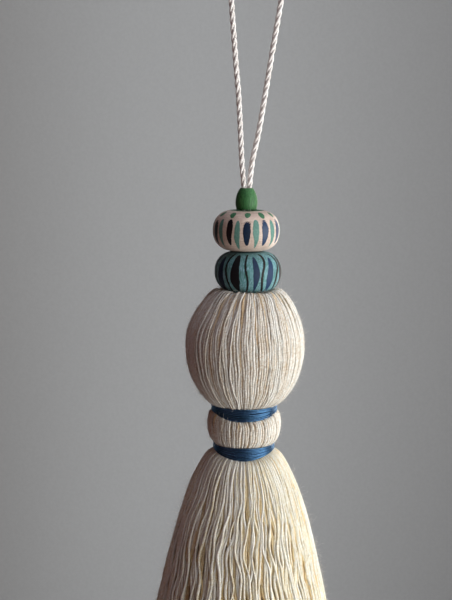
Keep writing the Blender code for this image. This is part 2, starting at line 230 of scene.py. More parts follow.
def sweep(shell, paths, radius, sides, outward, closed=False, flat=1.0, shade=0.5):
    """A tube round each path: at every point a ring across the path's direction.

    paths is (strands, points, 3) in metres, radius is in metres, outward is the
    side of the ring that is flattened by flat, and shade is one number for each
    strand. UV is (millimetres along, turns round)."""
    count, steps, _ = paths.shape
    radius = np.broadcast_to(radius, (count, steps))
    shade = np.broadcast_to(np.reshape(shade, (-1, 1)), (count, steps))
    if closed:
        ahead = unit(np.roll(paths, -1, axis=1) - np.roll(paths, 1, axis=1))
    else:
        ahead = unit(np.gradient(paths, axis=1))
    across = unit(np.cross(ahead, outward))
    up = np.cross(across, ahead)
    turn = round_axis(sides)[:, None]
    ring = np.cos(turn) * across[:, :, None] + flat * np.sin(turn) * up[:, :, None]
    points = [(paths[:, :, None] + radius[:, :, None, None] * ring).reshape(-1, 3)]
    shades = [np.repeat(shade.ravel(), sides)]

    index = np.arange(count * steps * sides).reshape(count, steps, sides)
    i = np.arange(steps if closed else steps - 1)
    along = lengths(paths) / MM
    last = along[:, 1:]
    if closed:
        last = np.concatenate([last, along[:, -1:] + last[:, :1]], axis=1)
    quads, uv = ring_faces(index[:, i], index[:, (i + 1) % steps], along[:, i], last)
    faces, uvs = [quads], [uv]
    for end, order in () if closed else ((0, [0, 1, 2]), (steps - 1, [0, 2, 1])):
        middle = sum(len(part) for part in points) + np.arange(count)[:, None]
        fan = stacked(middle, index[:, end], np.roll(index[:, end], -1, axis=1))
        faces.append(fan[:, :, order].reshape(-1, 3))
        tip = stacked(along[:, end, None, None], [0.5, 0.0, 1.0])
        uvs.append(np.broadcast_to(tip, (count, sides, 3, 2)).reshape(-1, 3, 2))
        points.append(paths[:, end])
        shades.append(shade[:, end])
    shell.add(np.concatenate(points), faces, uvs, {"shade": np.concatenate(shades)})


def turned(shell, outline, columns, outwards=0.0, down=0.0, aside=0.0, marks=None):
    """A form turned about the axis from a closed outline of (radius, depth).

    Its points move outwards, down and aside by (rows, columns) or single numbers
    of millimetres. UV is (turns round, millimetres along the outline)."""
    points = about(round_axis(columns), outline[:, :1] + outwards, outline[:, 1:] + down, aside)
    index = np.arange(len(outline) * columns).reshape(-1, columns)
    along = lengths(np.concatenate([outline, outline[:1]]))
    quads, uv = ring_faces(index, np.roll(index, -1, axis=0), along[:-1], along[1:])
    shell.add(points.reshape(-1, 3), [quads], [uv[..., ::-1]], marks or {})


# ---- materials ----


def linear(hex_colour):
    """An sRGB hex colour as the linear RGBA that the nodes take."""
    parts = [int(hex_colour[i : i + 2], 16) / 255 for i in (1, 3, 5)]
    return tuple(c / 12.92 if c <= 0.04045 else ((c + 0.055) / 1.055) ** 2.4 for c in parts) + (1.0,)


def paint(name):
    """A colour from the panel, as the linear RGBA that the nodes take."""
    return tuple(getattr(bpy.context.scene.tassel_colours, name)) + (1.0,)


def add(tree, kind, sockets=(), output=0, **settings):
    """One output of a new node with its settings, its sockets set to values or linked to outputs.

    sockets is a dict, or the first sockets in their order. A hex colour is made linear."""
    made = tree.nodes.new("ShaderNode" + kind)
    for key, value in settings.items():
        setattr(made, key, value)
    for key, value in (sockets if isinstance(sockets, dict) else dict(enumerate(sockets))).items():
        if isinstance(value, bpy.types.NodeSocket):
            tree.links.new(value, made.inputs[key])
        else:
            made.inputs[key].default_value = linear(value) if isinstance(value, str) else value
    return made.outputs[output]


def fresh_material(name, **principled):
    """A new node material, its Principled shader's own sockets set."""
    material = bpy.data.materials.new(name)
    material.use_nodes = True
    shader = material.node_tree.nodes["Principled BSDF"]
    for key, value in principled.items():
        shader.inputs[key.replace("_", " ")].default_value = value
    return material, material.node_tree


def finished(material, colour, relief, bump_mm, strength=0.8):
    """The material with its colour, and with relief as a bump that many millimetres high."""
    tree = material.node_tree
    bump = add(tree, "Bump", {"Height": relief, "Distance": bump_mm * MM, "Strength": strength})
    shader = tree.nodes["Principled BSDF"]
    tree.links.new(colour, shader.inputs["Base Color"])
    tree.links.new(bump, shader.inputs["Normal"])
    return material


def blend(tree, value, low, high, under, over):
    """A smooth step from one colour, where value is low, to the other, where it is high, and the step."""
    ends = {"Value": value, "From Min": low, "From Max": high}
    step = add(tree, "MapRange", ends, interpolation_type="SMOOTHSTEP")
    return add(tree, "Mix", {0: step, 6: under, 7: over}, output=2, data_type="RGBA"), step


FIBRE_STRETCH = 1.3  # how far the noise of the fibres is drawn out along a strand
SLUB_LENGTH = 9.0
NOISE_SPREAD = 400.0  # how far apart two strands may read the same noise


def spun(name, pale, deep, pitch_mm, fibre_bump_mm, apart=0.1, **principled):
    """A spun strand: fibres that wind round it, slubs along it, and a tone apart from its neighbours'.

    The fibres are noise at a point on a circle, whose angle is the UV's and one
    turn more every pitch_mm, drawn out along the strand. Each strand reads its
    own part of the noise, moved along by its shade."""
    material, tree = fresh_material(name, **principled)
    along, side = add(tree, "SeparateXYZ", [add(tree, "UVMap", uv_map="lay")]).node.outputs[:2]
    shade = add(tree, "Attribute", output="Fac", attribute_name="shade")
    start = add(tree, "Math", (shade, NOISE_SPREAD), operation="MULTIPLY")
    turns = add(tree, "Math", (along, 1 / pitch_mm, side), operation="MULTIPLY_ADD")
    angle = add(tree, "Math", (turns, TURN), operation="MULTIPLY")
    circle = [add(tree, "Math", [angle], operation=each) for each in ("COSINE", "SINE")]
    drawn = add(tree, "Math", (along, 1 / FIBRE_STRETCH, start), operation="MULTIPLY_ADD")
    lay = add(tree, "CombineXYZ", (drawn, *circle))
    # Tufts of fibre about a fifth of the strand's girth wide: single ones are too fine to show.
    fibres = add(tree, "TexNoise", {"Vector": lay, "Scale": 1.6, "Detail": 4.0, "Roughness": 0.65})
    place = add(tree, "CombineXYZ", (add(tree, "Math", (along, SLUB_LENGTH), operation="DIVIDE"), start))
    slubs = add(tree, "TexNoise", {"Vector": place, "Scale": 1.0, "Detail": 2.0})
    tone = add(tree, "Math", (slubs, 0.15), operation="MULTIPLY")
    tone = add(tree, "Math", (fibres, 0.85, tone), operation="MULTIPLY_ADD")
    tone = add(tree, "Math", (tone, apart / 2), operation="SUBTRACT")
    tone = add(tree, "Math", (shade, apart, tone), operation="MULTIPLY_ADD")
    colour, _ = blend(tree, tone, 0.38, 0.57, deep, pale)
    return finished(material, colour, fibres, fibre_bump_mm, 0.9)


def cotton_yarn(name="unbleached_cotton_single_ply", pale="yarn", deep="yarn_hollows"):
    # Unbleached cotton, softly spun in one ply: chalky and matt, creamy on the
    # crests and straw-coloured where fibres part. Light soaks a little way in
    # and comes out warmer, which softens every yarn's dark side.
    soft = {"Subsurface_Weight": 0.45, "Subsurface_Radius": (1.0, 0.95, 0.9), "Subsurface_Scale": 0.7 * MM}
    return spun(name, paint(pale), paint(deep), 1.7, 0.3, Roughness=0.95, Specular_IOR_Level=0.15, **soft)


def shaded_yarn():
    # The same cotton under the yarns in sight, where only light that has
    # already passed through them arrives, browner each time.
    name, matt = "unbleached_cotton_in_shade", {"Roughness": 1.0, "Specular_IOR_Level": 0.05}
    return spun(name, "#e8d4b4", "#ba976c", 1.7, 0.08, **matt)


def cotton_cord():
    # Bleached cotton, spun and then laid in three strands: whiter and closer
    # than the yarn, the plies of each strand winding against the lay.
    sheen = {"Specular_IOR_Level": 0.25, "Sheen_Weight": 0.2, "Sheen_Roughness": 0.4}
    name = "bleached_cotton_three_strand"
    return spun(name, paint("cord"), "#dcd4d0", -3.0, 0.12, Roughness=0.9, **sheen)


def cotton_thread():
    # Mercerised cotton, plied: smooth swollen fibres that shine along the
    # thread, so that navy turns steel-blue where it faces the light.
    shine = {"Roughness": 0.26, "IOR": 2.25, "Specular_IOR_Level": 1.0, "Specular_Tint": linear("#74aee6")}
    sheen = {"Sheen_Weight": 0.45, "Sheen_Roughness": 0.35, "Sheen_Tint": linear("#74b0e0")}
    name = "mercerised_navy_cotton_plied"
    return spun(name, paint("thread"), "#080d18", 1.1, 0.06, apart=0.5, **shine, **sheen)


def grain(tree, across_mm, along_mm, detail=4.0):
    """Noise drawn out along the tassel's axis, as turned beech's grain or a brush's hairs are."""
    place = add(tree, "TexCoord", output="Object")
    scale = (1 / across_mm, 1 / across_mm, 1 / along_mm)
    drawn = add(tree, "Mapping", {"Vector": place, "Scale": scale})
    return add(tree, "TexNoise", {"Vector": drawn, "Scale": 1 / MM, "Detail": detail, "Roughness": 0.6})


def coat(tree, under, inside, ragged, edge_mm, body):
    """Paint over a colour where inside, in millimetres, is over 0, its edge moved by ragged noise."""
    off = add(tree, "Math", (ragged, 0.5), operation="SUBTRACT")
    moved = add(tree, "Math", (off, edge_mm, inside), operation="MULTIPLY_ADD")
    return blend(tree, moved, -0.06, 0.06, under, body)


def navy_paint(tree, blots):
    """Navy that is near black where the brush carried most, by each stroke's own amount of paint and a little
    noise. Under the beads' seeds this is partly painted shade on the left strokes and painted highlight on
    the right.
    """
    load = add(tree, "Attribute", output="Fac", attribute_name="load")
    carried = add(tree, "Math", (blots, 0.5, load), operation="MULTIPLY_ADD")
    return blend(tree, carried, 0.5, 1.25, paint("navy"), "#04070f")[0]


def green_paint():
    # Turned beech brushed once with matt acrylic: even green, a little lighter
    # where the brush left it thin and the grain lifts.
    material, tree = fresh_material("matt_green_acrylic_on_beech", Roughness=0.55, Specular_IOR_Level=0.4)
    hairs = grain(tree, 0.35, 2.5)
    colour, _ = blend(tree, hairs, 0.3, 0.75, "#275530", paint("green"))
    return finished(material, colour, hairs, 0.05)


def painted_wood():
    # Bare turned beech, sanded and unsealed: pinkish and matt, with fine darker
    # flecks along the grain and faint rings where the gouge passed. The strokes
    # are matt acrylic, near black where the brush was full and bluer where not.
    name = "bare_turned_beech_brushed_strokes"
    material, tree = fresh_material(name, Roughness=0.42, Specular_IOR_Level=0.32)
    pores = grain(tree, 0.25, 1.6)
    bands = grain(tree, 2.2, 9.0, detail=2.0)
    rings = grain(tree, 5.0, 0.35)
    colour, _ = blend(tree, bands, 0.3, 0.7, "#cdb8ae", paint("wood"))
    colour, _ = blend(tree, rings, 0.42, 0.75, colour, "#bfa99d")
    colour, _ = blend(tree, pores, 0.56, 0.72, colour, "#a88f81")
    hairs = grain(tree, 0.22, 3.0)
    blots = grain(tree, 0.5, 0.7)
    marks = ("pale", "navy", "dry", "dot", "rim")
    pale, navy, dry, dot, rim = (add(tree, "Attribute", output="Fac", attribute_name=key) for key in marks)
    body, _ = blend(tree, blots, 0.3, 0.7, "#6c968c", paint("pale_paint"))
    colour, teal_cover = coat(tree, colour, pale, blots, 0.5, body)
    # The navy gives out between the hairs of the brush as it runs dry.
    ends = {"Value": hairs, "From Min": 0.45, "From Max": 0.6}
    gaps = add(tree, "MapRange", ends, interpolation_type="SMOOTHSTEP")
    gaps = add(tree, "Math", (dry, gaps), operation="MULTIPLY")
    navy = add(tree, "Math", (navy, gaps), operation="SUBTRACT")
    colour, navy_cover = coat(tree, colour, navy, blots, 0.5, navy_paint(tree, blots))
    body, _ = blend(tree, blots, 0.3, 0.7, "#4c8160", "#35694a")
    colour, green_cover = coat(tree, colour, dot, blots, 0.6, body)
    colour, _ = coat(tree, colour, rim, blots, 0.3, "#2f6442")
    relief = add(tree, "Math", (teal_cover, navy_cover), operation="MAXIMUM")
    relief = add(tree, "Math", (relief, green_cover), operation="MAXIMUM")
    relief = add(tree, "Math", (rings, 0.15, relief), operation="MULTIPLY_ADD")
    relief = add(tree, "Math", (pores, 0.35, relief), operation="MULTIPLY_ADD")
    return finished(material, colour, relief, 0.06)


def teal_wood():
    # Turned beech under brushed matt acrylic: teal that is bluer and paler
    # where the brush dragged, with navy strokes and thin black-blue lines.
    material, tree = fresh_material("matt_teal_acrylic_on_beech", Roughness=0.6, Specular_IOR_Level=0.35)
    hairs = grain(tree, 0.3, 4.0)
    clouds = grain(tree, 2.5, 5.0, detail=2.0)
    colour, _ = blend(tree, clouds, 0.35, 0.65, "#45756f", paint("teal"))
    colour, _ = blend(tree, hairs, 0.44, 0.68, colour, "#90b8cf")
    blots = grain(tree, 0.5, 0.9)
    navy, line = (add(tree, "Attribute", output="Fac", attribute_name=key) for key in ("navy", "line"))
    colour, navy_cover = coat(tree, colour, navy, blots, 0.45, navy_paint(tree, blots))
    colour, line_cover = coat(tree, colour, line, blots, 0.6, "#070a0d")
    relief = add(tree, "Math", (navy_cover, line_cover), operation="MAXIMUM")
    relief = add(tree, "Math", (hairs, 0.4, relief), operation="MULTIPLY_ADD")
    return finished(material, colour, relief, 0.06)


def packed_yarn_painted_shade():
    # Cotton packed close in the tassel's middle, furrowed along its length and seen only at the bottom of a
    # gap. Its brown is painted shade, darker than the cotton itself.
    material, tree = fresh_material("packed_unbleached_cotton", Roughness=1.0, Specular_IOR_Level=0.05)
    furrows = grain(tree, 0.9, 14.0)
    colour, _ = blend(tree, furrows, 0.35, 0.65, "#7d6650", "#a48a6c")
    return finished(material, colour, furrows, 0.4)


def matt_paper():
    # A seamless roll of matt grey paper, too smooth for its fibre to show.
    material, tree = fresh_material("matt_grey_paper", Roughness=0.95, Specular_IOR_Level=0.15)
    fibre = grain(tree, 3.0, 3.0)
    colour, _ = blend(tree, fibre, 0.3, 0.7, "#bfc1c3", "#c3c5c7")
    tree.links.new(colour, tree.nodes["Principled BSDF"].inputs["Base Color"])
    return material


# ---- what a user can change ----


def measure(name, description, millimetres):
    settings = {"min": 0.0, "subtype": "DISTANCE", "unit": "LENGTH", "precision": 5}
    return bpy.props.FloatProperty(name=name, description=description, default=millimetres * MM, **settings)


def number(name, description, default, least=0):
    return bpy.props.IntProperty(name=name, description=description, default=default, min=least)


def coloured(name, description, hex_colour):
    settings = {"default": linear(hex_colour)[:3], "subtype": "COLOR", "min": 0.0, "max": 1.0}
    return bpy.props.FloatVectorProperty(name=name, description=description, **settings)


def tilt(name, description, degrees):
    settings = {"default": math.radians(degrees), "subtype": "ANGLE", "unit": "ROTATION"}
    return bpy.props.FloatProperty(name=name, description=description, **settings)


def power(name, description, watts):
    return bpy.props.FloatProperty(name=name, description=description, default=watts, unit="POWER")


class TasselSizes(bpy.types.PropertyGroup):
    cord_width: measure("Cord width", "Across the twisted cord", 2.0)
    cord_lay: measure("Cord lay", "Length of cord in which a strand turns once", 9.9)
    yarn_width: measure("Yarn width", "Across one hanging yarn of the skirt", 0.95)
    drawn_width: measure("Drawn yarn width", "Across one yarn of the ball and the collar, pressed flat", 1.04)
    thread_width: measure("Thread width", "Across the thread of the bindings", 0.62)
    ball_yarns: number("Yarns on the ball", "Yarns in sight round the ball", 136, 8)
    collar_yarns: number("Yarns on the collar", "Yarns in sight round the collar", 84, 8)
    skirt_yarns: number("Yarns in the skirt", "Yarns in the skirt's outermost layer", 146, 8)
    fuzz: number("Loose fibres", "Fibres that stand out of the ball", 4600)
    skirt_length: measure("Skirt length", "From the lower binding to the cut ends", 100.0)
    seed: number("Seed", "Starts everything uneven, so that it comes out the same", 11)


class TasselColours(bpy.types.PropertyGroup):
    cord: coloured("Cord", "Bleached cotton of the hanging cord", "#f9f7f8")
    yarn: coloured("Yarn", "Cotton of the ball and the collar", "#f7f6f2")
    yarn_hollows: coloured("Yarn hollows", "The same, where its fibres part", "#cab7a0")
    free_ends: coloured("Free ends", "Cotton of the skirt", "#fdfcf5")
    free_ends_hollows: coloured("Free ends' hollows", "The same, where its fibres part", "#e3d4b0")
    # Painted shade: the skirt's yarns just inside its outer ones are coloured browner than those, standing
    # for the shade between the outer yarns.
    within: coloured("Within the skirt", "Cotton seen between the outer yarns, straw-coloured", "#f2dfb8")
    within_painted_shade_hollows: coloured("Hollows within", "The same, where its fibres part", "#cdac74")
    thread: coloured("Thread", "Mercerised cotton of the bindings", "#1d2740")
    green: coloured("Green", "Paint of the small bead", "#438048")
    wood: coloured("Wood", "Bare beech of the upper large bead", "#dfcec3")
    pale_paint: coloured("Pale strokes", "Long strokes on the bare bead", "#53817a")
    navy: coloured("Navy", "Short strokes on the bare bead, pointed ones on the other", "#17355a")
    teal: coloured("Teal", "Ground of the lower large bead", "#5a8f92")


class TasselStageSettings(bpy.types.PropertyGroup):
    lens: bpy.props.FloatProperty(
        name="Lens",
        description="Focal length over a 36 mm sensor",
        default=0.0897,
        subtype="DISTANCE",
        unit="CAMERA",
    )
    camera_place: bpy.props.FloatVectorProperty(
        name="Camera place",
        description="Where the camera stands, in the tassel's frame",
        default=(-0.0106, -0.5567, -0.0664),
        subtype="TRANSLATION",
        unit="LENGTH",
    )
    camera_pitch: tilt("Camera pitch", "How far the camera looks down", 7.09)
    camera_roll: tilt("Camera roll", "How far the camera leans", 0.55)
    key_power: power("Key light", "Power of the soft light on the right", 6.4)
    front_power: power("Front light", "Power of the soft light near the camera", 3.5)
    top_power: power("Top light", "Power of the soft light overhead", 3.0)
    fill_power: power("Fill light", "Power of the dim light on the left", 0.6)
    back_power: power("Back light", "Power of the soft light behind", 3.4)
    backdrop_power: power("Backdrop light", "Power of the light on the paper", 0.55)


def sizes():
    return bpy.context.scene.tassel_sizes


def chances(number):
    """A piece's own seeded random numbers."""
    return np.random.default_rng(sizes().seed + number)


# ---- the cord ----

# The route of the hanging cord's middle line, as the solid has it, in
# millimetres: aside from the tassel's axis, and height over the small bead.
CORD_ROUTE = (
    *((-1.025, -3.0), (-1.025, 0.5), (-1.9, 10.0), (-3.3, 33.0), (-4.7, 48.0), (-6.4, 69.0)),
    *((-7.2, 81.0), (-4.9, 90.5), (3.3, 94.6), (11.3, 90.9), (13.6, 81.5), (11.9, 69.0)),
    *((8.3, 46.5), (4.5, 22.5), (2.0, 10.0), (1.025, 0.5), (1.025, -3.0)),
)
CORD_POINTS = 520
STRANDS = 3
STRAND_SHARE = 0.27  # a strand's middle from the cord's, as a share of the cord's width
STRAND_PLUMP = 0.262  # a strand's radius, as a share of the cord's width
STEM_RADIUS = 0.84
STEM_APART = 0.85  # the middle of either leg from the tassel's axis
SIDEWAYS = np.array([0.0, 1.0, 0.0])


class TASSEL_OT_hanging_cord(bpy.types.Operator):
    """Lays three spun strands round one another along the loop"""

    bl_idname = "tassel.hanging_cord"
    bl_label = "Hanging cord"

    def execute(self, context):
        # Each strand is a helix about the route: out of it by a fixed share of
        # the width, at an angle that grows by one turn in every lay.
        route = through(CORD_ROUTE, CORD_POINTS)
        path = in_frame(route[:, 0], 0.0, -route[:, 1])
        out = np.cross(SIDEWAYS, unit(np.gradient(path, axis=0)))
        width = sizes().cord_width
        chance = chances(0)
        along = lengths(route)
        turn = TURN * (along * MM / sizes().cord_lay + np.arange(STRANDS)[:, None] / STRANDS)
        turn = (turn + meander(chance, STRANDS, along, ((31.0, 0.10), (12.0, 0.06))))[..., None]
        strands = path + STRAND_SHARE * width * (np.cos(turn) * out + np.sin(turn) * SIDEWAYS)
        swell = meander(chance, STRANDS, along, ((7.0, 0.05), (2.6, 0.03)))
        shell = Shell()
        sweep(shell, strands, STRAND_PLUMP * width * (1.0 + swell), 10, out, shade=[0.2, 0.5, 0.8])
        piece = shell.made("hanging_cord_strands", cotton_cord(), "cotton_cord", "hanging_cord")
        return {"FINISHED"}


class TASSEL_OT_cord_stem(bpy.types.Operator):
    """Runs the doubled cord down through the beads into the ball"""

    bl_idname = "tassel.cord_stem"
    bl_label = "Cord inside the beads"

    def execute(self, context):
        low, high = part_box("cord_stem")
        depth = np.linspace(TOP_Z - high[2], TOP_Z - low[2], 40) / MM
        paths = in_frame(np.array([[-STEM_APART], [STEM_APART]]), 0.0, depth)
        shell = Shell()
        sweep(shell, paths, STEM_RADIUS * MM, 12, SIDEWAYS)
        shell.made("cord_stem_legs", cotton_cord(), "cotton_cord", "cord_stem")
        return {"FINISHED"}


# ---- the beads ----

COLUMNS = 300  # round a large bead
REPEATS = 11  # of each mark round a large bead
OFF_ROUND = 5.5  # the radius past which turning leaves a bead a little off round
OUT_OF_SIGHT = 3.0  # past this many millimetres it doesn't matter how far from a mark a point is

# Each kind of brush mark: by what brush_marks needs, a middle value, and the most it is off that.
MARK_KEYS = ("width", "low", "high", "phase", "lean", "bend", "wave", "belly", "point", "blunt")
LEAVES = (
    (2.85, -4.9, 4.7, 0.5, -0.1, 0.0, 0.0, 0.55, 0.42, 4.0),
    (0.35, 0.4, 0.4, 0.5, 0.35, 0.25, 0.1, 0.08, 0.06, 1.0),
)
REEDS = (
    (2.15, -7.0, 5.0, 0.5, -0.1, 0.0, 0.0, 0.52, 0.8, 3.5),
    (0.45, 0.8, 0.5, 0.5, 0.4, 0.3, 0.1, 0.06, 0.15, 1.0),
)
DOTS = (
    (2.3, 5.5, 8.8, 0.5, 0.0, 0.0, 0.0, 0.48, 0.36, 2.0),
    (0.25, 0.2, 0.25, 0.5, 0.5, 0.1, 0.0, 0.04, 0.03, 0.2),
)
LENSES = (
    (3.4, -8.8, 7.6, 0.5, 0.2, 0.0, 0.0, 0.42, 0.85, 1.5),
    (1.0, 0.8, 0.9, 0.5, 0.6, 0.6, 0.35, 0.12, 0.15, 0.2),
)
WAVY_LINES = (
    (1.0, -9.6, 9.2, 0.5, 0.0, 0.0, 0.5, 0.5, 0.12, 9.0),
    (0.3, 0.3, 0.5, 0.5, 0.6, 0.6, 0.25, 0.05, 0.04, 2.0),
)


def capsule_outline(low, high):
    """The small bead's closed outline: bore, flat top, dome, near-straight side, flat base.

    The dome's radius is R (1 - (h / H)^2)^(1 / 2) at height h over its widest place."""
    radius, bore, waist = 0.97 * (high[0] - low[0]) / 2 / MM, 2.15, 2.4
    height = (high[2] - low[2]) / MM
    rise = (height - waist) * np.sin(np.linspace(TURN / 4, 0.0, 26))
    dome = radius * np.sqrt(1.0 - (rise / 6.6) ** 2)
    side = np.linspace(waist, 0.25, 8)[1:]
    rows = [(bore, 0.15), (bore + 0.12, 0.0)]
    rows += zip(dome, height - waist - rise)
    rows += zip(radius - 0.45 * (1.0 - side / waist) ** 2, height - side)
    rows += [(radius - 0.30, height), (bore, height)]
    return np.array(rows)


def large_bead(node, rows=84):
    """A large bead's closed outline, and the angles, radii and heights climbed that brush_marks takes.

    The outline runs from bore to flat top to rounded side to flat base. The side
    is a superellipse about a core: radius C + (R - C) |cos t|^(2 / p) and height
    H |sin t|^(2 / p), which is flat at the ends and nearly so at the waist. The
    height climbed is measured along the outline, from the waist."""
    core, radius, half, bore, p = 5.0, 12.5, 7.55, 3.0, 2.2
    top = (TOP_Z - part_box(node)[1][2]) / MM
    t = np.linspace(TURN / 4, -TURN / 4, rows)
    reach = core + (radius - core) * np.abs(np.cos(t)) ** (2 / p)
    rise = half * np.sign(np.sin(t)) * np.abs(np.sin(t)) ** (2 / p)
    side = through(stacked(reach, top + half - rise), rows)
    inner = [(bore, top + 0.25), (bore + 0.25, top)]
    last = [(bore + 0.25, top + 2 * half), (bore, top + 2 * half - 0.25)]
    outline = np.concatenate([inner, side, last])
    along = lengths(outline)
    waist = np.interp(top + half, side[:, 1], along[2:-2])
    return outline, (round_axis(COLUMNS), outline[:, 0], waist - along)


def mark_set(chance, angles, kind):
    """One brush mark of a kind for each angle, each a little different."""
    marks = {"angle": angles}
    for key, middle, off in zip(MARK_KEYS, *kind):
        marks[key] = middle + off * chance.uniform(-1.0, 1.0, len(angles))
    return marks


def brush_marks(angle, radius, climbed, marks):
    """How far inside the nearest brush mark each point of a bead lies, in millimetres.

    A mark runs up the bead between two heights. Half its width at a share s of
    the way up is w / 2 (s / b)^q below its belly b, where it comes to a point,
    and w / 2 (1 - ((s - b) / (1 - b))^e)^(1 / 2) above. It leans and bends
    sideways, and the distance is to its sides or its ends, whichever is nearer.
    With it come the number of that mark and the share of the way up it."""
    m = {key: np.asarray(value)[:, None, None] for key, value in marks.items()}
    share = (climbed[:, None] - m["low"]) / (m["high"] - m["low"])
    off = (angle - m["angle"] + TURN / 2) % TURN - TURN / 2
    off = off * radius[:, None] - m["lean"] * (share - 0.5) - m["bend"] * np.sin(TURN / 2 * share)
    off = off - m["wave"] * np.sin(TURN * (1.3 * share + m["phase"]))
    inside = np.clip(share, 0.0, 1.0)
    below = np.clip(inside / m["belly"], 0.0, 1.0) ** m["point"]
    above = np.clip((inside - m["belly"]) / (1.0 - m["belly"]), 0.0, 1.0) ** m["blunt"]
    half = m["width"] / 2 * np.where(inside < m["belly"], below, np.sqrt(1.0 - above))
    ends = np.minimum(share, 1.0 - share) * (m["high"] - m["low"])
    depth = np.minimum(half - np.abs(off), ends)
    nearest = np.argmax(depth, axis=0)
    depth, share = (np.take_along_axis(each, nearest[None], 0)[0] for each in (depth, share))
    return np.clip(depth, -OUT_OF_SIGHT, OUT_OF_SIGHT), nearest, share


def bead_piece(node, outline, columns, material, slot_name, **marks):
    """One turned bead, its side a little off round, as hand turning leaves it."""
    angle = round_axis(columns)
    uneven = 0.04 * np.sin(2 * angle + 0.7) + 0.03 * np.sin(3 * angle + 2.0)
    low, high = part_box(node)
    aside = ((low[0] + high[0]) / 2 - AXIS_X) / MM
    marks = {key: value.ravel() for key, value in marks.items()}
    shell = Shell()
    turned(shell, outline, columns, uneven * (outline[:, :1] > OFF_ROUND), aside=aside, marks=marks)
    shell.made(f"{node}_turned", material, slot_name, node)


class TASSEL_OT_cap_bead(bpy.types.Operator):
    """Turns the small green bead"""

    bl_idname = "tassel.cap_bead"
    bl_label = "Small bead"

    def execute(self, context):
        bead_piece("cap_bead", capsule_outline(CAP_LOW, CAP_HIGH), 96, green_paint(), "green_painted_wood")
        return {"FINISHED"}


class TASSEL_OT_painted_bead(bpy.types.Operator):
    """Turns the bare wooden bead and paints leaves and dots round it"""

    bl_idname = "tassel.painted_bead"
    bl_label = "Bead with painted strokes"

    def execute(self, context):
        # The seed gives the stroke at the front left the most paint, near black, and the one at the front
        # right a dry top. This is the brush's unevenness, and partly painted shade on the left and painted
        # highlight on the right.
        chance = chances(3832)
        outline, grid = large_bead("painted_bead")
        angle, radius, climbed = grid
        steps = spaced_round(chance, REPEATS, 0.10) + FRONT + math.radians(2.0)
        leaves = mark_set(chance, steps, LEAVES)
        halfway = steps + TURN / REPEATS * (0.5 + chance.uniform(-0.06, 0.06, REPEATS))
        reeds = mark_set(chance, halfway, REEDS)
        dots = mark_set(chance, steps + chance.uniform(-0.02, 0.02, REPEATS), DOTS)
        navy, which, share = brush_marks(*grid, leaves)
        # A stroke begins to run dry most of the way up.
        dry = np.clip((share - 0.62) / 0.38, 0.0, 1.0) * chance.uniform(0.1, 1.3, REPEATS)[which]
        load = chance.uniform(0.0, 1.0, REPEATS)[which]
        pale, _, _ = brush_marks(*grid, reeds)
        dot, _, _ = brush_marks(*grid, dots)
        # Green paint lies round the upper bore, its edge a little uneven.
        edge = 6.35 + 0.12 * np.sin(3 * angle + 1.0) + 0.10 * np.sin(7 * angle)
        rim = np.where(climbed[:, None] > 0.0, edge - radius[:, None], -OUT_OF_SIGHT)
        rim = np.clip(rim, -OUT_OF_SIGHT, OUT_OF_SIGHT)
        paints = {"navy": navy, "dry": dry, "load": load, "pale": pale, "dot": dot, "rim": rim}
        bead_piece("painted_bead", outline, COLUMNS, painted_wood(), "bare_wood", **paints)
        return {"FINISHED"}


class TASSEL_OT_striped_bead(bpy.types.Operator):
    """Turns the teal bead and paints pointed strokes and wavy lines round it"""

    bl_idname = "tassel.striped_bead"
    bl_label = "Bead with painted lines"

    def execute(self, context):
        # The seed gives the pointed stroke at the front left the most paint, near black, and the one at the
        # front right little. This is the brush's unevenness, and partly painted shade on the left and painted
        # highlight on the right.
        chance = chances(3391)
        outline, grid = large_bead("striped_bead")
        steps = spaced_round(chance, REPEATS, 0.06) + FRONT + math.radians(10.0)
        lenses = mark_set(chance, steps, LENSES)
        halfway = steps + TURN / REPEATS * (0.5 + chance.uniform(-0.05, 0.05, REPEATS))
        lines = mark_set(chance, halfway, WAVY_LINES)
        navy, which, _ = brush_marks(*grid, lenses)
        line, _, _ = brush_marks(*grid, lines)
        load = chance.uniform(0.1, 1.3, REPEATS)[which]
        paints = {"navy": navy, "line": line, "load": load}
        bead_piece("striped_bead", outline, COLUMNS, teal_wood(), "teal_painted_wood", **paints)
        return {"FINISHED"}


# ---- the yarn ----

UPPER_DIP, LOWER_DIP = 2.4, 2.9
# How far the lower bead has slipped aside on its cord.
ASIDE = (sum(corner[0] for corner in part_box("striped_bead")) / 2 - AXIS_X) / MM
CORE_INSET = 1.8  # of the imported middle, under the outermost yarns
CORE_BORE = 0.4
RING_POINTS = 120  # round a core, and round a turn of thread
FIBRE_RADIUS = 0.036
FIBRE_ROOT = 0.3  # how far under the surface a loose fibre starts

# Outer surfaces from the top down: radii, depths, dips at front and back, leans to the right.
BALL_FORM = np.transpose(
    (
        (5.2, 7.6, 9.6, 11.2, 12.8, 16.0, 19.6, 21.75, 22.4, 21.8, 19.9, 16.8, 13.6, 11.4, 10.9),
        (39.7, 39.1, 38.3, 37.8, 38.3, 41.4, 47.2, 53.0, 59.3, 65.8, 72.0, 77.4, 80.7, 82.1, 83.6),
        (0.0,) * 15,
        (*(ASIDE,) * 5, 0.7, 0.35, 0.1, *(0.0,) * 7),
    )
)
COLLAR_FORM = np.transpose(
    (
        (10.9, 11.7, 13.1, 13.9, 14.1, 13.4, 12.0, 10.7),
        (81.9, 83.2, 84.1, 86.3, 89.6, 93.6, 95.7, 97.0),
        UPPER_DIP * np.array((1.0, 1.0, 1.0, 0.7, 0.2, 0.0, 0.0, 0.0)),
        (0.0,) * 8,
    )
)

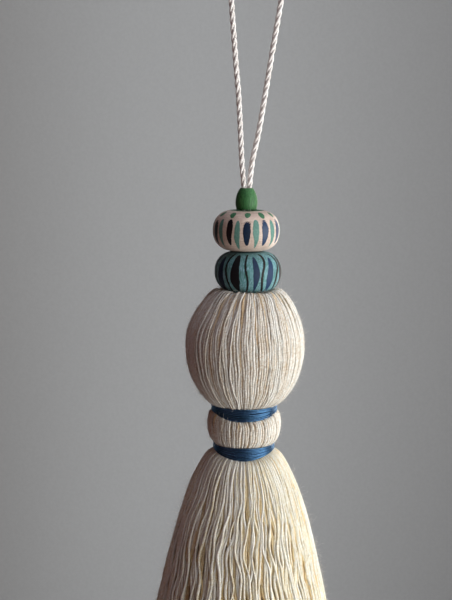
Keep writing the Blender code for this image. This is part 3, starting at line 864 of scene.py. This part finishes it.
# Layers of yarn, a few of them astray over the rest: points along the form, one yarn in
# so many, width over one yarn's, and from the depth on what wound_layer takes.
BALL_WAVES = ((46.0, 0.6), (19.0, 0.25), (9.0, 0.12))
BALL_LAYERS = {
    "yarns": (
        (46, 1, 1.0, 0.0, BALL_WAVES, 6, 0.95),
        (46, 6, 0.6, -0.12, ((60.0, 1.2), (22.0, 0.5), (9.0, 0.15)), 6, 0.6, 1.0, 0.45),
    ),
    "under_yarns": (
        (28, 1, 1.1, 0.4, BALL_WAVES, 4),
        (28, 1, 1.2, 0.8, BALL_WAVES, 3),
    ),
}
COLLAR_WAVES = ((24.0, 0.5), (9.0, 0.15))
COLLAR_LAYERS = {
    "yarns": (
        (26, 1, 1.0, 0.0, COLLAR_WAVES, 6, 0.3),
        (26, 6, 0.6, -0.1, ((30.0, 1.2), (9.0, 0.2)), 6, 0.5, 1.0, 0.45),
    ),
    "under_yarns": (
        (26, 1, 1.1, 0.3, COLLAR_WAVES, 4),
        (26, 1, 1.2, 0.8, COLLAR_WAVES, 3),
    ),
}


def normals(form):
    """The outward normal of a turned form at each of its rows, as (radial, downward)."""
    run = unit(np.gradient(form[:, :2], axis=0))
    return stacked(run[:, 1], -run[:, 0])


def wound_layer(shell, chance, form, count, width, depth, waves, sides, relief=1.0, flat=0.95, uneven=0.2):
    """One layer of yarns that run down a form turned about the axis, depth under its surface.

    Each yarn swings round the axis by its sway over the radius, has its own
    thickness, and swells and thins along its length. Its middle lies half a
    thickness and its own sink under the surface, along the surface's normal,
    and where yarns are crowded every other one gives way inwards. relief scales
    how far some stand out of the rest, which is most where the form begins."""
    along = lengths(form[:, :2])
    # 0 where the yarns have room to spare, 1 where each has half its width.
    crowd = np.clip(2.0 * (1.0 - TURN * form[:, 0] / count / width), 0.0, 1.0)
    angle = spaced_round(chance, count, uneven)[:, None]
    sway = drift(chance, count, along, waves, 0.3)
    sway = sway + meander(chance, count, along, ((15.0, 0.10), (6.0, 0.05)))
    eased = 0.6 + 1.5 * np.linspace(1.0, 0.0, len(form)) ** 2
    lift = relief * eased * meander(chance, count, along, ((22.0, 0.12), (9.0, 0.06)))
    proud = relief * eased * chance.uniform(-0.25, 0.3, (count, 1))
    odd = (np.arange(count) % 2)[:, None]
    sink = depth + 0.15 + lift + proud + 0.28 * width * odd * crowd * eased
    own = width * chance.uniform(0.85, 1.15, (count, 1)) * (1.0 - 0.25 * crowd)
    plump = own * (1.0 + meander(chance, count, along, ((11.0, 0.12), (3.2, 0.09))))
    out, down = normals(form).T
    under = sink + flat * plump / 2
    radius = form[:, 0] - out * under
    angle = angle + sway / np.maximum(radius, 4.0)
    level = form[:, 1] - down * under + form[:, 2] * front_and_back(angle)
    paths = about(angle, radius, level, form[:, 3])
    shade = chance.uniform(0.0, 1.0, count)
    sweep(shell, paths, plump / 2 * MM, sides, pointing(angle, out, -down), flat=flat, shade=shade)


def fuzz(shell, chance, form, count, length):
    """Loose fibres that stand out of a yarn surface, more where it is wider.

    Each starts just under the surface and follows root + L (t a + t^2 b): a
    direction a that leans out of the surface, and a curl b of its own. Near the
    form's two ends L is less than the room there."""
    rows = through(form, 160)[10:-10]
    step = np.arange(len(rows))
    area = np.cumsum(rows[:, 0])
    at = np.interp(chance.uniform(area[0], area[-1], count), area, step)
    along = lengths(rows[:, :2])
    fields = np.column_stack([rows, normals(rows), np.minimum(along, along[-1] - along)])
    radius, depth, dip, lean, out, down, spare = (np.interp(at, step, column) for column in fields.T)
    angle = chance.uniform(0.0, TURN, count)
    root = about(angle, radius - FIBRE_ROOT, depth + dip * front_and_back(angle), lean)
    normal = pointing(angle, out, -down)
    around = pointing(angle + TURN / 4, 1.0, 0.0)
    share = chance.normal(0.0, 1.0, (3, count, 1))
    heading = (0.25 + 0.5 * np.abs(share[0])) * normal + 0.45 * share[1] * around
    heading = unit(heading + 0.9 * share[2] * np.cross(normal, around))
    curl = 0.4 * chance.normal(0.0, 1.0, (count, 3)) + 0.1 * normal
    t = np.linspace(0.0, 1.0, 4)[:, None]
    room = np.clip(spare / length, 0.15, 1.0)[:, None, None]
    reach = length * MM * room * chance.uniform(0.35, 1.0, (count, 1, 1)) ** 1.5
    paths = root[:, None] + reach * (t * heading[:, None] + t**2 * curl[:, None])
    thin = FIBRE_RADIUS * MM * (1.0 - 0.5 * t[:, 0])
    shade = chance.uniform(0.5, 1.0, count)
    sweep(shell, paths, thin, 3, unit(np.cross(heading, curl))[:, None], shade=shade)


def yarn_body(node, chance, form, layers, count, fibres, fibre_length):
    """The layers of yarn over a form, loose fibres, and a closed core, so that no light passes between."""
    width = sizes().drawn_width / MM
    for part, material in (("yarns", cotton_yarn), ("under_yarns", shaded_yarn)):
        shell = Shell()
        for points, one_in, wider, *rest in layers[part]:
            wound_layer(shell, chance, through(form, points), count // one_in, wider * width, *rest)
        shell.made(f"{node}_{part}", material(), "cotton_yarn", node)
    form = through(form, layers["yarns"][0][0])
    shell = Shell()
    fuzz(shell, chance, form, fibres, fibre_length)
    shell.made(f"{node}_fuzz", cotton_yarn(), "cotton_yarn", node)
    form[:, :2] -= CORE_INSET * normals(form)
    # Two rows close to the axis close it.
    form = np.concatenate([form, form[[-1, 0]]])
    form[-2:, 0] = CORE_BORE
    # The core is coloured brown: painted shade at the bottom of the gaps between the yarns over it.
    shell = Shell()
    down = form[:, 2:3] * front_and_back(round_axis(RING_POINTS))
    turned(shell, form[:, :2], RING_POINTS, down=down, aside=form[:, 3:])
    shell.made(f"{node}_core", packed_yarn_painted_shade(), "cotton_yarn", node)


class TASSEL_OT_yarn_ball(bpy.types.Operator):
    """Draws the hank of yarn down over the ball"""

    bl_idname = "tassel.yarn_ball"
    bl_label = "Ball of yarn"

    def execute(self, context):
        chance = chances(2)
        yarn_body("yarn_ball", chance, BALL_FORM, BALL_LAYERS, sizes().ball_yarns, sizes().fuzz, 1.9)
        return {"FINISHED"}


class TASSEL_OT_yarn_collar(bpy.types.Operator):
    """Puffs the yarns out between the two bindings"""

    bl_idname = "tassel.yarn_collar"
    bl_label = "Collar of yarn"

    def execute(self, context):
        chance = chances(3)
        fibres = sizes().fuzz // 5
        yarn_body("yarn_collar", chance, COLLAR_FORM, COLLAR_LAYERS, sizes().collar_yarns, fibres, 1.8)
        return {"FINISHED"}


# ---- the bindings ----


def thread_turns(shell, chance, top, height, dip, radius, width, turns, deep=0.0):
    """Turns of thread side by side, each a closed ring that wavers a little.

    They lie closer at the sides than at the front, where dip is added to their
    height, and there every other one is pressed under its neighbours."""
    angle = round_axis(RING_POINTS)
    place = (np.arange(turns)[:, None] + 0.5) / turns
    lobes = np.arange(1, 5)[:, None]
    phases = chance.uniform(0.0, TURN, (2, turns, 4, 1))
    heights = chance.normal(0.0, 0.10, (turns, 4, 1)) / np.sqrt(lobes)
    swing = (heights * np.sin(lobes * angle + phases[0])).sum(axis=1)
    depth = top + place * (height + dip * front_and_back(angle)) + swing
    tight = 1.0 - front_and_back(angle)
    lift = (0.045 * np.sin(lobes * angle + phases[1])).sum(axis=1)
    under = deep + 0.22 * (np.arange(turns) % 2)[:, None] * tight + np.abs(lift)
    under = under + chance.uniform(0.0, 0.16, (turns, 1))
    paths = about(angle, radius - width / 2 - under, depth)
    shade = chance.uniform(0.0, 1.0, turns)
    sweep(shell, paths, width / 2 * MM, 6, pointing(angle, 1.0, 0.0), closed=True, shade=shade)


class TASSEL_OT_bindings(bpy.types.Operator):
    """Winds the blue thread round the neck above and below the collar"""

    bl_idname = "tassel.bindings"
    bl_label = "Thread bindings"

    def execute(self, context):
        width = sizes().thread_width / MM
        chance = chances(4)
        thread = cotton_thread()
        for node, *place in (
            ("upper_binding", 81.5, 2.4, UPPER_DIP, 12.65),
            ("lower_binding", 96.4, 1.9, LOWER_DIP, 11.85),
        ):
            shell = Shell()
            thread_turns(shell, chance, *place, width, 8)
            thread_turns(shell, chance, *place, width, 6, deep=0.4)
            shell.made(f"{node}_thread", thread, "blue_thread", node)
        return {"FINISHED"}


# ---- the skirt ----

SKIRT_ROOT = 98.2
SKIRT_RISE = 2.6  # how far the yarns run up inside the binding
DIP_FADE = 22.0  # the drop in which the binding's dip at front and back fades by a factor of e
FREE_DROP = 16.0  # the drop in which the binding's hold on a yarn fades by a factor of e
LOCK = 3  # yarns that hang together, on average
LOCK_GATHER = 0.45  # the most that a lock's yarns draw together
SKIRT_LAYERS = (
    # share of the flare, share of the yarns, width over one yarn's, wandering, points, sides
    (1.003, 0.42, 1.00, 1.2, 60, 5),
    (0.986, 0.85, 1.05, 1.0, 60, 5),
    (0.970, 1.00, 1.05, 1.0, 50, 4),
    (0.953, 1.00, 1.15, 1.0, 40, 4),
    (0.930, 1.00, 1.40, 1.0, 30, 3),
    (0.820, 0.90, 1.80, 1.0, 26, 3),
    (0.630, 0.60, 2.10, 1.0, 22, 3),
    (0.420, 0.32, 2.40, 1.0, 22, 3),
    (0.180, 0.14, 2.60, 1.0, 22, 3),
)


def flare(drop):
    """The skirt's outer radius: it turns out over the binding's edge, swells, then widens evenly."""
    below = np.maximum(drop, 0.0)
    lip = 2.6 * (1.0 - np.exp(-below / 0.9))
    swell = 6.6 * (1.0 - np.exp(-below / 14.0))
    return 10.6 + lip + swell + 0.24 * below * (1.0 - below / 700.0)


def skirt_layer(shell, chance, share, count, width, length, astray, points, sides):
    """Yarns that hang from the binding, side by side on one share of the flare.

    Neighbours wander sideways together, and every few of them gather into a
    lock, which stands out or in as one. Each crimps a little on its own. The
    layers lie closest on the right and loosest on the left."""
    drop = (length + SKIRT_RISE) * np.linspace(0.0, 1.0, points) ** 1.4 - SKIRT_RISE
    free = 1.0 - np.exp(-np.maximum(drop, 0.0) / FREE_DROP)
    angles = spaced_round(chance, count, 0.42)
    bounds = np.cumsum(chance.integers(LOCK - 2, LOCK + 3, count))
    lock = np.searchsorted(bounds, np.arange(count), side="right")
    locks = lock[-1] + 1
    middle = np.bincount(lock, angles) / np.bincount(lock)
    gather = LOCK_GATHER * chance.uniform(0.2, 1.0, (locks, 1))[lock] * free
    hung = angles[:, None] + gather * (middle[lock] - angles)[:, None]
    sway = drift(chance, count, drop, ((64.0, 1.2), (27.0, 0.6), (14.0, 0.35)), 0.45)
    sway = astray * free * (sway + meander(chance, count, drop, ((31.0, 0.45), (12.0, 0.25))))
    lift = meander(chance, locks, drop, ((50.0, 0.38), (21.0, 0.2)))[lock]
    loose = 0.74 - 0.40 * np.cos(angles)[:, None]
    lift = free * loose * (lift + meander(chance, count, drop, ((17.0, 0.15), (8.0, 0.06))))
    if share > 0.9:
        share = 1.0 - (1.0 - share) * loose
    else:
        share = share + chance.uniform(-0.1, 0.1, (count, 1))
    fall = np.where(drop > 0.0, drop * (1.0 + chance.uniform(-0.014, 0.012, (count, 1))), drop)
    radius = share * flare(fall) - width / 2 + lift * share - 0.35
    angle = hung + sway / np.maximum(radius, 3.0)
    dip = LOWER_DIP * front_and_back(angle) * np.exp(-np.maximum(fall, 0.0) / DIP_FADE)
    paths = about(angle, radius, SKIRT_ROOT + fall + dip)
    plump = 1.0 + meander(chance, count, drop, ((14.0, 0.10), (5.0, 0.05)))
    plump = plump * (1.0 + 0.25 * np.exp((drop - length) / 1.5)) * (0.82 + 0.18 * free)
    plump = plump * chance.uniform(0.8, 1.2, (count, 1))
    shade = chance.uniform(0.0, 1.0, count)
    sweep(shell, paths, plump * width / 2 * MM, sides, pointing(angle, 1.0, 0.15), shade=shade)


class TASSEL_OT_skirt(bpy.types.Operator):
    """Hangs the skirt's yarns, layer inside layer"""

    bl_idname = "tassel.skirt"
    bl_label = "Skirt of yarn"

    def execute(self, context):
        chance = chances(6)
        width = sizes().yarn_width / MM
        length = sizes().skirt_length / MM
        # The free ends have kept more of the cotton's own straw colour. The yarns just inside the outer ones
        # are coloured browner still: painted shade between the outer yarns.
        free = cotton_yarn("unbleached_cotton_free_ends", "free_ends", "free_ends_hollows")
        within = cotton_yarn("unbleached_cotton_free_ends_within", "within", "within_painted_shade_hollows")
        for name, layers, yarn in (
            ("skirt_outer_yarns", SKIRT_LAYERS[:2], free),
            ("skirt_second_yarns", SKIRT_LAYERS[2:4], within),
            ("skirt_inner_yarns", SKIRT_LAYERS[4:], shaded_yarn()),
        ):
            shell = Shell()
            for share, many, wider, *rest in layers:
                count = round(sizes().skirt_yarns * many)
                skirt_layer(shell, chance, share, count, width * wider, length, *rest)
            shell.made(name, yarn, "cotton_yarn", "skirt")
        drop = np.linspace(2.0, length - 2.0, 12)
        form = stacked(flare(drop), SKIRT_ROOT + drop, LOWER_DIP * np.exp(-drop / DIP_FADE), 0.0)
        shell = Shell()
        fuzz(shell, chance, form, sizes().fuzz, 2.8)
        shell.made("skirt_fuzz", cotton_yarn(), "cotton_yarn", "skirt")
        return {"FINISHED"}


# ---- the stage ----

FLOOR_UNDER = 0.8  # the floor's depth under the tassel's lowest point
PAPER_FRONT, PAPER_BACK, PAPER_HALF_WIDTH, PAPER_HEIGHT = -1.6, 1.1, 1.9, 2.4
PAPER_BEND = 0.35
AIR_GLOW = 0.015  # strength of the light from all round

LIT = (AXIS_X, 0.0, -0.07)
LIGHTS = (
    # name, place, target, width, height, spread in degrees, colour; z is from the small bead's top
    ("key", (1.08, -0.34, -0.14), LIT, 0.9, 1.4, 100, "#fffef8"),
    ("front", (0.55, -0.75, -0.14), LIT, 0.45, 0.8, 180, "#fffdf5"),
    ("top", (0.28, -0.14, 0.7), LIT, 0.8, 0.8, 180, "#f8f6ff"),
    ("fill", (-0.75, -0.45, -0.1), LIT, 0.8, 1.2, 180, "#ffa494"),
    ("back", (0.45, 0.62, -0.12), LIT, 0.4, 0.9, 180, "#fff8ee"),
    ("backdrop", (-0.28, 0.6, -0.02), (0.03, 1.1, -0.02), 0.15, 1.4, 75, "#f3f7f9"),
)


def placed(name, data, matrix=Matrix()):
    """An object in the scene, turned and placed by a matrix."""
    made = bpy.data.objects.new(name, data)
    made.matrix_world = matrix
    bpy.context.scene.collection.objects.link(made)
    return made


def soft_light(name, place, target, width, height, spread, colour, watts):
    """A soft box that faces the target."""
    light = bpy.data.lights.new(name, "AREA")
    light.shape = "RECTANGLE"
    light.size, light.size_y = width, height
    light.spread = math.radians(spread)
    light.energy = watts
    light.color = linear(colour)[:3]
    turn = (Vector(target) - Vector(place)).to_track_quat("-Z", "Y").to_matrix().to_4x4()
    placed(name, light, Matrix.Translation(Vector(place) + Vector((0.0, 0.0, TOP_Z))) @ turn)


def paper_sweep():
    """A flat floor that turns up through a quarter circle into a wall."""
    floor = CAD_BOX[0][2] - FLOOR_UNDER
    turn = np.linspace(0.0, TURN / 4, 24)
    y = np.concatenate([[PAPER_FRONT], PAPER_BACK - PAPER_BEND + PAPER_BEND * np.sin(turn), [PAPER_BACK]])
    z = np.concatenate([[0.0], PAPER_BEND - PAPER_BEND * np.cos(turn), [PAPER_HEIGHT]]) + floor
    x = np.linspace(-PAPER_HALF_WIDTH, PAPER_HALF_WIDTH, 9)
    grid = stacked(x, y[:, None], z[:, None])
    index = np.arange(len(y) * len(x)).reshape(len(y), len(x))
    quads = stacked(index[:-1, :-1], index[:-1, 1:], index[1:, 1:], index[1:, :-1])
    mesh = bpy.data.meshes.new("paper_sweep")
    mesh.from_pydata(grid.reshape(-1, 3).tolist(), [], quads.reshape(-1, 4).tolist())
    mesh.shade_smooth()
    mesh.materials.append(matt_paper())
    return placed("paper_sweep", mesh)


class TASSEL_OT_stage(bpy.types.Operator):
    """Sets the paper sweep, the soft lights and the camera"""

    bl_idname = "tassel.stage"
    bl_label = "Stage"

    def execute(self, context):
        scene = context.scene
        stage = scene.tassel_stage
        paper_sweep()
        for name, *light in LIGHTS:
            soft_light(f"{name}_light", *light, getattr(stage, f"{name}_power"))
        world = bpy.data.worlds.new("studio_air")
        world.use_nodes = True
        air = world.node_tree.nodes["Background"].inputs
        air["Color"].default_value = linear("#f4e6df")
        air["Strength"].default_value = AIR_GLOW
        scene.world = world
        scene.view_settings.view_transform = "Standard"

        camera = bpy.data.cameras.new("studio_camera")
        camera.lens = stage.lens / MM
        camera.sensor_width = 36.0
        camera.clip_end = 20.0
        pitch = Matrix.Rotation(TURN / 4 - stage.camera_pitch, 4, "X")
        roll = Matrix.Rotation(stage.camera_roll, 4, "Z")
        place = Matrix.Translation(stage.camera_place)
        scene.camera = placed("studio_camera", camera, place @ pitch @ roll)
        return {"FINISHED"}


# ---- the panel and the run ----

SETTINGS = {"tassel_sizes": TasselSizes, "tassel_colours": TasselColours, "tassel_stage": TasselStageSettings}
STEPS = (
    TASSEL_OT_stage,
    TASSEL_OT_hanging_cord,
    TASSEL_OT_cord_stem,
    TASSEL_OT_cap_bead,
    TASSEL_OT_painted_bead,
    TASSEL_OT_striped_bead,
    TASSEL_OT_yarn_ball,
    TASSEL_OT_bindings,
    TASSEL_OT_yarn_collar,
    TASSEL_OT_skirt,
)


class TASSEL_PT_sidebar(bpy.types.Panel):
    bl_idname = "TASSEL_PT_sidebar"
    bl_label = "Beaded tassel"
    bl_space_type = "VIEW_3D"
    bl_region_type = "UI"
    bl_category = "Tassel"

    def draw(self, context):
        for key, group in SETTINGS.items():
            for name in group.__annotations__:
                self.layout.prop(getattr(context.scene, key), name)
        for step in STEPS:
            self.layout.operator(step.bl_idname)


CLASSES = (*SETTINGS.values(), *STEPS, TASSEL_PT_sidebar)


def register():
    for each in CLASSES:
        bpy.utils.register_class(each)
    for key, group in SETTINGS.items():
        setattr(bpy.types.Scene, key, bpy.props.PointerProperty(type=group))


def unregister():
    for key in SETTINGS:
        delattr(bpy.types.Scene, key)
    for each in reversed(CLASSES):
        bpy.utils.unregister_class(each)


def main():
    register()
    for step in STEPS:
        family, name = step.bl_idname.split(".")
        getattr(getattr(bpy.ops, family), name)()


if __name__ == "__main__":
    main()
